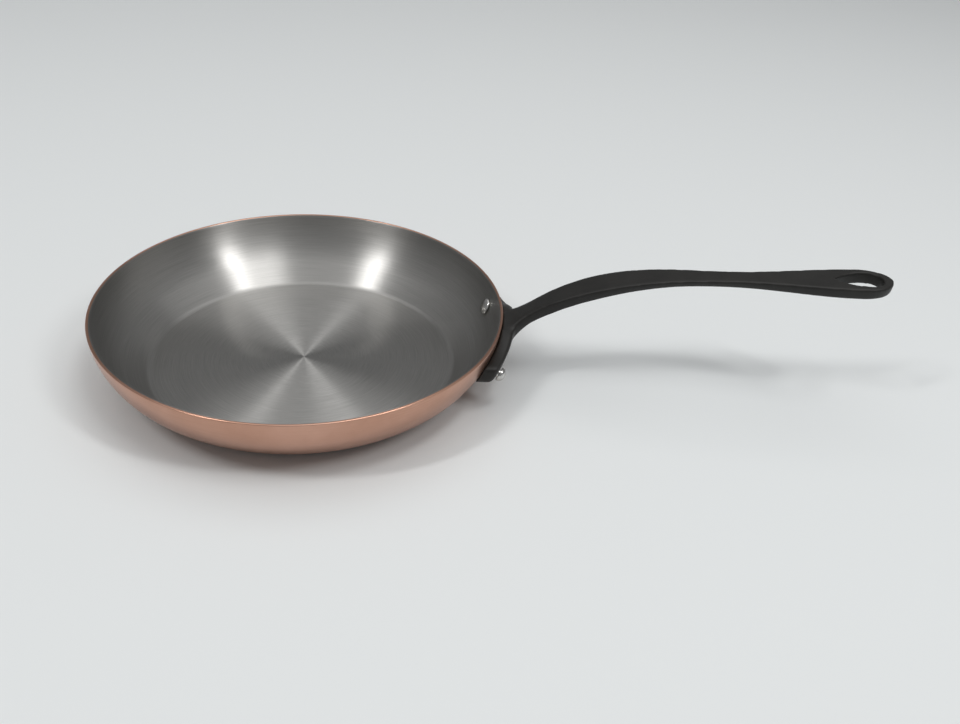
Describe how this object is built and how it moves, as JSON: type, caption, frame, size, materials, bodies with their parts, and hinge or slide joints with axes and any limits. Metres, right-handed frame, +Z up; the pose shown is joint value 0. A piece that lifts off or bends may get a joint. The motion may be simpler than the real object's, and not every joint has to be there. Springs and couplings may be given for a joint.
{
  "type": "frying pan",
  "caption": "Round copper frying pan with a stainless lining, flared curved wall and a riveted cast-iron handle that rises to a teardrop hanging eye.",
  "frame": {"origin": "centre of the flat underside, on the hob", "axes": "+Z up along the pan's axis, +X from the axis towards the handle's tip"},
  "size_m": [0.4999, 0.26, 0.0905],
  "materials": {
    "copper": "polished copper with faint turning lines, reddish",
    "steel": "stainless steel brushed in circles",
    "iron": "dark cast iron, satin, fine casting grain",
    "rivet": "smooth stainless steel"
  },
  "bodies": {
    "root": {"copper_body": "copper", "steel_lining": "steel", "handle": "iron", "front_rivet": "rivet", "rear_rivet": "rivet"}
  },
  "joints": []
}
